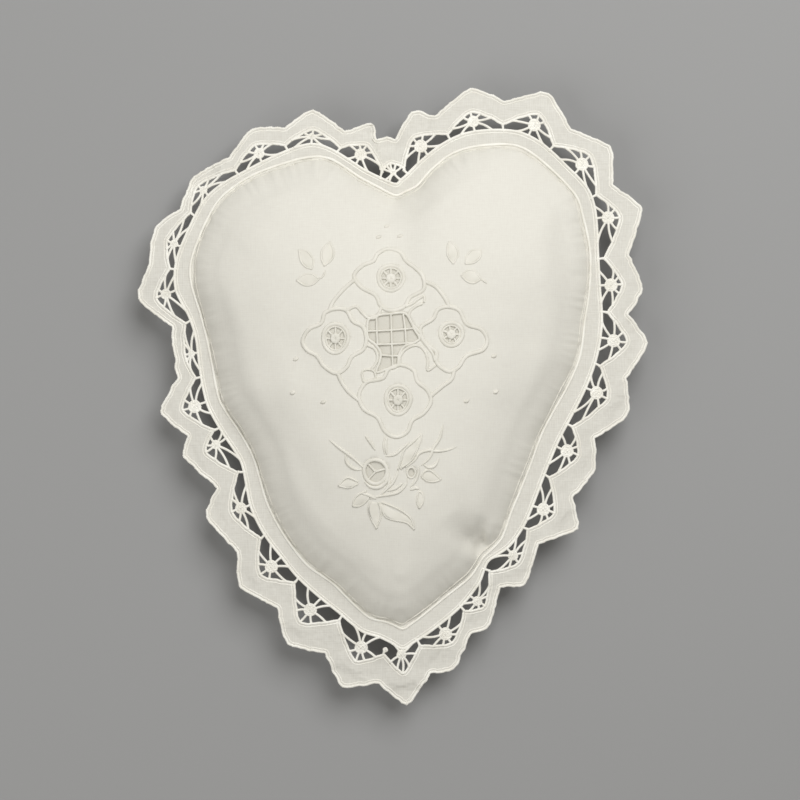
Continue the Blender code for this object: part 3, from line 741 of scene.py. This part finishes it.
filling = copy_of("fibre_filling", "fibre_filling_mass")
finish_with(filling, "REMESH", mode="VOXEL", voxel_size=VOXEL)
swell(filling, pressure=4, frames=20)
finish_with(filling, "SUBSURF", levels=1, render_levels=1)
shaped = points_of(filling)
for point in shaped:
    x, y, z = point
    gap = seam_tree.find((x, y, 0))[2]
    inward = ramp(gap, 2 * MM, 25 * MM)
    lump = noise.noise(Vector((x, y, z)) / LUMP_LENGTH)
    lump += 0.35 * noise.noise(Vector((x, y, z)) * 2.6 / LUMP_LENGTH)
    if z > SEAM_LEVEL:
        point[2] -= (z - SEAM_LEVEL) * (1 - RIM) * (1 - ramp(gap, 0, RIM_WIDTH))
        point[2] = max(SEAM_LEVEL, point[2] + lump * LUMP * 2 * inward - fold_depth(x, y))
    point[2] = max(point[2], REST + CLOTH)
move_points(filling, shaped)
# Polyester fibre: a fluffy white mass, dull, with fine tangled strands.
fibre, shader = start_material("polyester_fibre_fill", roughness=1.0, sheen=0.3)
here = add_node(fibre, "TexCoord").outputs["Object"]
tangle = add_node(fibre, "TexNoise", [("Vector", here)], Scale=1 / (1.5 * MM), Detail=6.0, Distortion=2.0)
dress(fibre, shader, tangle.outputs["Fac"], tangle.outputs["Fac"], "DCDCDC", "F6F6F6", places=(0, 1),
      Strength=0.8, Distance=0.6 * MM)
lay(filling, fibre, "polyester_fibre", "fibre_filling")

# --- Casing ---
# A plain bag of thin cotton that holds the filling. It is sewn shut and put into the embroidered cover.
# It shows through the openwork of the front.

CASING_GAP = 0.4 * MM
casing = bpy.data.objects.new("casing_bag", filling.data.copy())
bpy.context.collection.objects.link(casing)
select_only(casing)
bpy.ops.object.mode_set(mode="EDIT")
bpy.ops.mesh.select_all(action="SELECT")
bpy.ops.transform.shrink_fatten(value=CASING_GAP)
bpy.ops.object.mode_set(mode="OBJECT")
bpy.ops.object.shade_smooth()
# Thin cotton lining: duller than the cover, with a fine even weave. Its tones are a little darker than the
# cover's as painted shade for the hollows of the openings, where it shows through.
lining, shader = start_material("cotton_lining_painted_shade", roughness=0.95)
here = add_node(lining, "TexCoord").outputs["Object"]
fine = add_node(lining, "TexNoise", [("Vector", here)], Scale=1 / (0.7 * MM), Detail=2.0)
# The darker of these tones is painted shade for the openings.
dress(lining, shader, fine.outputs["Fac"], fine.outputs["Fac"], "CFCCC1", "DCD9CF", places=(0, 1),
      Strength=0.3, Distance=0.1 * MM)
lay(casing, lining, "casing_cloth", "casing_front", "casing_back")

# --- Covers ---
# Front and back are heart-shaped panels of plain cotton, sewn together with the flange between them.
# The seam gathers them a little all round. The front has openings cut under its embroidery.

# The same cotton over the casing and filling: whiter, with a fine close surface.
cotton = woven_cotton("close_woven_cotton", "E1DED5", "E7E5DC", depth=0.13)
COVER_GAP = 0.9 * MM             # from the filling to the outside of a cover
SHOULDER = 1.3 * MM              # how quickly the cloth rises from the seam
INSET = 1.9 * MM                 # how far inside the seam the filling ends
ROLL = 12 * MM                   # how wide the rounded part beside the seam is
BULGE = 1.0 * MM                 # how far it bulges out in places
PUCKER = 1.2 * MM                # depth, spacing and reach of the gathers at the seam
PUCKER_LENGTH = 4.2 * MM
PUCKER_REACH = 2.8 * MM
ROW_INSETS = (0.6, 1.3, 2.1, 3.0, 4.0, 5.2, 6.6, 8.2, 10)
seam_out = ways_out(seam_outline)


def surface(piece):
    """A search tree of a piece's faces."""
    return BVHTree.FromPolygons([vert.co for vert in piece.data.vertices],
                                [tuple(face.vertices) for face in piece.data.polygons])


stuffed = surface(filling)


def seam_rows(insets):
    """Rows of flat points alongside the seam, at some distances inside it."""
    rows = []
    for inset in insets:
        row = seam_outline - seam_out * inset * MM
        rows.append(np.array([p for p in row if seam_tree.find((*p, 0))[2] > 0.94 * inset * MM]))
    return rows


def cover_point(x, y, side):
    """Where a flat point of a cover lies; side is 1 for the front and -1 for the back."""
    place, nearest, gap = seam_tree.find((x, y, 0))
    out = Vector(seam_out[nearest])
    seam_z = border_height(*place.xy) + side * (CLOTH / 2 + 0.1 * MM)
    probe = Vector((x, y)) - out * INSET * max(0, 1 - gap / ROLL)
    hit = stuffed.ray_cast(Vector((*probe, side * 0.2 + 0.02)), Vector((0, 0, -side)))[0]
    rise = (hit.z + side * COVER_GAP - seam_z) if hit else 0
    z = seam_z + rise * (1 - math.exp(-gap / SHOULDER))
    tuck = abs(noise.noise(Vector((*place.xy, side)) / PUCKER_LENGTH))
    strength = 0.35 + 0.65 * ramp(noise.noise(Vector((*place.xy, 7)) / (30 * MM)), -0.3, 0.4)
    near = gap / PUCKER_REACH * math.exp(1 - gap / PUCKER_REACH)
    z -= side * PUCKER * strength * near * max(0, 1 - tuck * 3.5)
    roll = math.sin(math.pi * min(1, gap / ROLL))
    roll *= ramp(noise.noise(Vector((*place.xy, 3)) / (40 * MM)), -0.35, 0.5)
    flat = Vector((x, y)) + out * BULGE * roll
    return (*flat, max(z, REST) if side < 0 else z)


def add_cover(name, holes, spacing, side, node):
    """One cover: a heart of cloth laid over the filling, with its thickness."""
    flat, faces = flat_sheet(seam_outline, holes, spacing, rows=seam_rows(ROW_INSETS))
    verts = [cover_point(x, y, side) for x, y in flat]
    piece = add_mesh(name, verts, faces if side > 0 else faces[:, ::-1], flat=flat)
    finish_with(piece, "SOLIDIFY", thickness=CLOTH, offset=-1)
    bpy.ops.object.shade_smooth()
    lay(piece, cotton, "ivory_cotton", node)
    return piece


# Each round opening's middle, half width and half height in millimetres, and how many spokes fill it.
OPENWORK = {
    "flower_top_eye": ((-1, 58), 6.3, 6.3, 8),
    "flower_left_eye": ((-28, 28.5), 6.1, 7.1, 8),
    "flower_right_eye": ((28.5, 30.5), 5.5, 5.7, 7),
    "flower_bottom_eye": ((2.5, -1.5), 6.1, 7.0, 8),
    "rose_eye": ((-8.5, -36.5), 5.6, 5.9, 3),
    "small_rose_eye": ((9, -37), 2, 2.6, 0),
}
# The edge of the window between the flowers.
WINDOW = ((-11.5, 38), (-6, 40), (-1, 40.5), (5, 41), (8, 38.5), (10.5, 33), (13, 28.5), (9.5, 26),
          (5.5, 24.5), (3, 20.5), (2, 15), (-3, 13.5), (-8, 12), (-6.5, 17), (-6, 21.5), (-8.5, 25.5),
          (-12, 28.5), (-12.5, 33.5))


def oval(middle, across, along, count=40):
    """Flat points of an uneven oval, in metres. It is a little narrower at its foot."""
    turns = np.arange(count) * math.tau / count
    x = np.cos(turns) * across * (1 + 0.06 * np.sin(turns)) * (1 + 0.02 * np.cos(3 * turns + across))
    return (np.column_stack((x, np.sin(turns) * along)) + middle) * MM


openings = [oval(middle, across, along) for middle, across, along, spokes in OPENWORK.values()]
openings.append(smooth(np.array(WINDOW) * MM, 6))
openings = [spaced(opening, 0.8 * MM) for opening in openings]
front = add_cover("front_cover_cloth", openings, 1.8 * MM, 1, "front_cover")
add_cover("back_cover_cloth", [], 3 * MM, -1, "back_cover")

# --- Seam stitching ---
# A narrow line of satin stitch covers the seam between the front and the flange, in a shallow valley.
# A second, finer row wanders beside it on the cover, where the cloth was eased in.

SEAM_CORD = 1.3 * MM
# Stranded embroidery cotton: nearly the colour of the cloth, smooth, with a soft sheen across its stitches.
floss = spun_cotton("stranded_embroidery_cotton", "E0DDD2", "E9E6DC", patch=7 * MM,
                    depth={"Strength": 0.35, "Distance": 0.12 * MM}, roughness=0.65, sheen=0.2, specular=0.3)
fine = spaced(seam_outline, STITCH_PITCH / 3)
seam_line = on_border(fine + ways_out(fine) * 0.5 * MM, CLOTH / 2 + 0.15 * MM)
seam_cord = add_cords("seam_satin_stitch", [tube(seam_line, (0, 0, 1), SEAM_CORD, 0.9 * MM, relief=0.1)])
lay(seam_cord, thread, "lace_thread", "seam_cord")

on_cover = surface(front)
# How far inside the seam the second row lies, how far it strays and over what length, in millimetres.
ROW_INSET, ROW_STRAY, STRAY_LENGTH = 1.4, 1.2, 24
inner_line = []
for (x, y), out in zip(fine, ways_out(fine)):
    inset = (ROW_INSET + ROW_STRAY * noise.noise(Vector((x, y, 9)) / (STRAY_LENGTH * MM))) * MM
    place = Vector((x, y)) - Vector(out) * inset
    if seam_tree.find((*place, 0))[2] > 0.9 * inset:
        inner_line.append(tuple(place))


def softened(run, times):
    """A closed run of points with its small bends evened out."""
    for again in range(times):
        run = (np.roll(run, 1, 0) + 2 * run + np.roll(run, -1, 0)) / 4
    return run


inner_line = softened(spaced(np.array(inner_line), STITCH_PITCH / 3), 12)
hits = [on_cover.ray_cast(Vector((*place, 0.2)), Vector((0, 0, -1)))[:2] for place in inner_line]
hits = [(place, normal) for place, normal in hits if place]
lying = softened(np.array([place + normal * 0.1 * MM for place, normal in hits]), 8)
facing = softened(np.array([normal for place, normal in hits]), 8)
second_row = add_cords("seam_second_row", [tube(lying, facing, 0.75 * MM, 0.6 * MM, relief=0.15, sides=6)])
lay(second_row, floss, "lace_thread")

# --- Embroidered cords ---
# The front is worked by hand in white thread: padded satin stitch over cord outlines four flowers.
# They sit in a ring round a small openwork window. Places are in millimetres from the model's middle.

CORD = 1.9 * MM
SATIN_PITCH = 0.9 * MM           # two stitches drawn as one, because real ones, 0.4 mm apart, are too fine


def on_front(flat, lift=0.0):
    """Flat points raised to the front cover, as if it had no openings."""
    return np.array([(x, y, cover_point(x, y, 1)[2] + lift) for x, y in flat])


def cord(route, closed=False, width=CORD, height=0.95 * MM, taper=False):
    """A padded cord on the front along a route in millimetres. It may taper to both ends."""
    flat = spaced(smooth(np.array(route) * MM, 8, closed), 0.45 * MM, closed)
    t = np.linspace(0, 1, len(flat))
    flare = np.sqrt(np.sin(math.pi * np.clip(t, 0.02, 0.98))) if taper else None
    return tube(on_front(flat, 0.15 * MM), (0, 0, 1), width, height, pitch=SATIN_PITCH, relief=0.07,
                closed=closed, flare=flare)


def add_embroidery(name, tubes, *nodes):
    """One embroidered piece on the front."""
    lay(add_cords(name, tubes), floss, "embroidery_thread", *nodes)


random.seed(23)
FLOWERS = {
    "top": ((-2.5, 72.5), (3.5, 71), (6.5, 66.5), (11, 63), (14.5, 59), (15, 52.5), (8.5, 48.5), (5.5, 44),
            (-1, 42), (-6, 44.5), (-8.5, 49.5), (-15.5, 53.5), (-19, 59), (-15, 64), (-9.5, 66.5),
            (-7.5, 70)),
    "left": ((-27.5, 43), (-22.5, 42), (-19.5, 37), (-14.5, 34), (-13, 28), (-14.5, 23), (-20, 19.5),
             (-22.5, 14.5), (-27.5, 11.5), (-33.5, 15), (-37, 20), (-42, 23), (-44, 27.5), (-41, 33),
             (-35, 36), (-33, 41)),
    "right": ((27, 44), (32.5, 42), (36, 35.5), (43, 33), (46, 28), (44, 23), (36, 20), (32, 14.5),
              (27, 12.5), (21.5, 16.5), (21, 22), (15.5, 26.5), (13.5, 33.5), (19.5, 38), (22, 42.5)),
    "bottom": ((4, 15.5), (10, 13), (12, 7.5), (17, 3), (18.5, -2.5), (15, -8), (9.5, -11.5), (7, -17),
               (1.5, -19.5), (-4, -16.5), (-7.5, -10), (-14, -6), (-16.5, 0.5), (-13, 7), (-5, 9),
               (-2, 13.5)),
}
for side, route in FLOWERS.items():
    add_embroidery(f"flower_{side}_outline", [cord(route, closed=True)], f"flower_{side}")

RING_LINKS = {
    "top_left": ((-19, 57), (-24.5, 52), (-29, 46.5), (-31, 42)),
    "top_right": ((15, 56.5), (20.5, 54), (24.5, 49.5), (27.5, 44)),
    "bottom_left": ((-27, 12), (-25, 7.5), (-21.5, 2.5), (-16, -2)),
    "bottom_right": ((30, 13), (28.5, 8.5), (24, 5), (18, 0)),
}
for side, route in RING_LINKS.items():
    add_embroidery(f"ring_link_{side}", [cord(route)], f"link_{side}")

PETAL_ARCS = (
    ((-22.5, 42), (-18, 44), (-15, 41), (-12, 38.5), (-8, 38.8), (-5.5, 43.5)),
    ((6, 44), (9.5, 45.5), (12, 47.5), (14.5, 49)),
    ((14.5, 45.5), (11, 44), (8.3, 41.5), (8, 38.5), (10, 35), (13.5, 31)),
    ((-13, 25.5), (-9, 23.5), (-7.5, 20), (-8, 17), (-10.5, 13)),
    ((3.5, 15), (3.5, 19.5), (6, 23), (10, 25), (13.5, 24.5), (16, 21.5), (17, 17.5), (17, 13), (21, 15.5)),
    ((14, 28), (17, 24.5), (19.5, 21), (20.5, 17.5)),
)
add_embroidery("medallion_arcs", [cord(route, width=1.4 * MM) for route in PETAL_ARCS])
TABS = (
    ((-15, 11), (-14, 13), (-10, 13), (-8.5, 11), (-9, 9), (-13.5, 7)),
    ((11.5, 47), (15, 49.3), (15.3, 46)),
)
add_embroidery("medallion_tabs", [cord(route, closed=len(route) > 3, width=1.1 * MM) for route in TABS])

# --- Openwork eyes and window ---
# Each flower has a round eye cut out of the cloth, bound with cord and filled with a small darned wheel.
# The window between the flowers has a bound edge and a grid of wrapped strands. The casing shows through.


def eye_strand(start, end, width):
    """A wrapped strand across an eye, a little below the cloth."""
    flat = np.linspace(start, end, 14)
    return tube(on_front(flat, -0.2 * MM), (0, 0, 1), width, 0.7 * MM, relief=0.1, sides=6, closed=False)


ROSE_SPOKES = np.array(((-12.3, -32.2), (-3.3, -35), (-12.7, -41))) * MM
for name, (middle, across, along, spokes) in OPENWORK.items():
    ring = spaced(oval(middle, across, along), 0.4 * MM)
    nodes = [f"{name}_ring"] if spokes else []
    width = CORD if spokes else 1.1 * MM
    binding = tube(on_front(ring), (0, 0, 1), width, MM, pitch=SATIN_PITCH, relief=0.08)
    add_embroidery(f"{name}_binding", [binding], *nodes)
    if not spokes:
        continue
    centre = np.array(middle) * MM
    rim = oval(middle, across - 0.4, along - 0.4, count=spokes)
    if spokes > 3:
        tubes = [eye_strand(centre, end, random.uniform(1.0, 1.3) * MM) for end in rim]
        inner = spaced(oval(middle, across - 1.3, along - 1.3), 0.4 * MM)
        tubes.append(tube(on_front(inner, -0.1 * MM), (0, 0, 1), 1.1 * MM, 0.9 * MM, relief=0.12, sides=6))
        hub = spaced(oval(middle, across * 0.2, along * 0.2), 0.35 * MM)
        tubes.append(tube(on_front(hub, 0.1 * MM), (0, 0, 1), 2.6 * MM, 0.9 * MM, pitch=1.1 * MM,
                          relief=0.12))
    else:
        tubes = [eye_strand(centre, end, 1.2 * MM) for end in ROSE_SPOKES]
    add_embroidery(f"{name}_wheel", tubes, f"{name}_web")

# Three strands up the window, and three across it.
GRID = (
    ((-8, 39.5), (-7.8, 32), (-7.5, 25)),
    ((-1, 41), (-0.5, 27), (0, 13.5)),
    ((5, 41), (6, 33), (6.5, 25)),
    ((-12.5, 32), (-1, 32.5), (11, 33.5)),
    ((-9, 25.5), (1, 25.8), (10.5, 26.5)),
    ((-6.5, 20.5), (-1, 20), (3, 20)),
)
add_embroidery("window_binding", [cord(WINDOW, closed=True, width=1.3 * MM)], "lattice_frame")
add_embroidery("window_grid", [cord(route, width=MM, height=0.8 * MM) for route in GRID], "lattice_strands")

# --- Rose spray, sprigs and dots ---
# Below the medallion is a spray of a rose with leaves, stems and a bud. Two sprigs of leaves are above it.
# They are worked in satin stitch over fine outlines, with a few single dots round the medallion.

STEMS = (
    ((-31, -21), (-26.5, -24.5), (-23, -27), (-18.5, -30.5), (-14.5, -34.5)),
    ((-11, -50), (-6.5, -48.5), (-0.5, -47.5), (3.5, -46), (6.5, -42.5), (7, -39.5)),
    ((-4.5, -46.5), (-0.5, -42.5), (1.5, -39), (2.5, -35.5)),
    ((8.5, -44), (11, -41), (12.5, -37), (12.5, -34)),
    ((-3.5, -29), (1, -28), (4, -25.5), (8, -22)),
    ((24.5, -13.5), (23, -20), (20, -24.5), (18, -29.5), (14, -33.5)),
    ((31, -24.5), (26.5, -26), (21.5, -26.5), (17.5, -26), (13, -27.5), (10.5, -31), (6, -34.5)),
    ((-23, -27.5), (-22.5, -32), (-19, -35), (-15, -35.5)),
    ((-1.5, -39), (-2.5, -44), (-6, -48)),
    ((5, -42), (1.5, -44.5), (-2.5, -46)),
    ((-16, -47), (-12, -48), (-8, -50)),
    ((15, -33), (17.5, -34.5), (20.5, -33.5), (22.5, -30)),
    ((-13.5, -19), (-11, -22), (-8.5, -26)),
    ((-3, -19.5), (-3.5, -23.5), (-3, -28)),
    ((13, -45), (11, -44.5), (8.5, -45.5)),
)
stems = [cord(route, width=1.5 * MM, taper=True) for route in STEMS]
add_embroidery("rose_spray_stems", stems, "rose_stem")
CRESCENT = ((-2.2, -36), (-3, -41), (-6.5, -44), (-10.5, -44), (-13.8, -41.5))
add_embroidery("rose_crescent", [cord(CRESCENT, width=2 * MM, height=1.2 * MM, taper=True)])

# Each leaf has two edges that run from its tip to its foot.
SPRAY_LEAVES = (
    (((-26.5, -43.5), (-24.5, -41), (-21.5, -39.5), (-17, -41.5)),
     ((-26.5, -43.5), (-21.5, -44.5), (-17, -42.5))),
    (((-19.5, -53.5), (-19, -50.5), (-17, -48), (-13, -46)),
     ((-19.5, -53.5), (-16.5, -53.5), (-14, -52), (-11.5, -49.5))),
    (((14, -18), (10, -22), (5.5, -26), (4, -31), (2.5, -35.5)),
     ((14, -18), (13.5, -21.5), (11.5, -26.5), (9, -31), (4.5, -34.5))),
    (((23.5, -40.5), (18.5, -36), (15.5, -36.5), (14, -39)),
     ((23.5, -40.5), (20, -41.5), (16.5, -41), (14, -39))),
    (((-8, -64.5), (-11, -58.5), (-12, -54.5), (-11, -51.5)),
     ((-8, -64.5), (-6, -59), (-6, -55), (-7, -51.5))),
    (((10.5, -65), (9, -60), (5.5, -56.5), (0, -53.5), (-5.5, -51.5)),
     ((10.5, -65), (6.5, -61.5), (-0.5, -60), (-4, -58), (-6, -53))),
    (((13, -54.5), (11.8, -51.5), (12, -48), (13, -46)),
     ((13, -54.5), (14.8, -51.5), (14.6, -48), (13, -46))),
)
SPRIG_LEAVES = (
    (((-46, 72), (-45, 66.5), (-42.5, 63.5), (-39.5, 62.5)),
     ((-46, 72), (-42, 71), (-39, 67), (-39.5, 62.5))),
    (((-31, 76), (-34.5, 72), (-35, 68), (-33.5, 64)),
     ((-31, 76), (-29, 71.5), (-29.5, 67.5), (-33.5, 64))),
    (((-47, 57), (-44, 59.5), (-40, 60), (-36, 57.5)),
     ((-47, 57), (-43, 54.5), (-39, 55), (-36, 57.5))),
    (((27.5, 76), (26.5, 72.5), (27, 68.5), (29.5, 65)),
     ((27.5, 76), (30.5, 73.5), (32, 69.5), (29.5, 65))),
    (((43, 72), (38.5, 71.5), (36, 68.5), (35.5, 65)),
     ((43, 72), (42.5, 68), (39.5, 65.5), (35.5, 65))),
    (((33.5, 59), (36, 61.5), (39.5, 61.5), (43, 57.5)),
     ((33.5, 59), (36, 56.5), (39.5, 55.5), (43, 57.5))),
)


PAD_HEIGHT = 0.45                # in millimetres


def leaf(upper, lower, height):
    """A leaf: a low satin-stitched pad between its two outlined edges."""
    one = spaced(smooth(upper, 6, closed=False), 0.5, closed=False)
    two = spaced(smooth(lower, 6, closed=False), 0.5, closed=False)
    count = max(len(one), len(two))
    rows = [np.stack([np.interp(np.linspace(0, 1, count), np.linspace(0, 1, len(edge)), edge[:, axis])
                      for axis in range(2)], 1) for edge in (one, two)]
    middle = (rows[0] + rows[1]) / 2
    widths = np.linalg.norm(rows[0] - rows[1], axis=1)
    verts, faces = tube(on_front(middle * MM), (0, 0, 1), MM, MM, pitch=SATIN_PITCH, relief=0.04,
                        closed=False)
    rings = verts.reshape(count, -1, 3)
    centres = np.column_stack((middle * MM, rings[:, :, 2].mean(1)))[:, None, :]
    spread = (rings - centres) * np.stack((widths, widths, np.full(count, PAD_HEIGHT)), 1)[:, None, :]
    pad = (centres + spread).reshape(-1, 3), faces
    return [pad, cord(upper, width=0.9 * MM, height=height), cord(lower, width=0.9 * MM, height=height)]


for name, leaves, height in (("rose_spray_leaves", SPRAY_LEAVES, 0.8), ("sprig_leaves", SPRIG_LEAVES, 0.5)):
    add_embroidery(name, [part for edges in leaves for part in leaf(*edges, height * MM)])
DOTS = ((-3, 84), (-7, 78.5), (3.5, 79), (-47.5, 18.5), (-49, 2), (-34, -2.5), (49.5, 20), (50.5, 2.5),
        (36, -2))
dots = [cord(((x - 1.3, y - 0.4), (x, y), (x + 1.3, y + 0.5)), width=CORD, taper=True) for x, y in DOTS]
add_embroidery("dots", dots)
TAILS = (
    ((-36, 57.5), (-34, 59), (-33, 62)),
    ((43, 57.5), (46, 55.5)),
    ((-4, -19), (-4.5, -23.5), (-4, -28)),
)
tails = [cord(route, width=0.9 * MM, height=0.6 * MM, taper=True) for route in TAILS]
add_embroidery("fine_tails", tails)
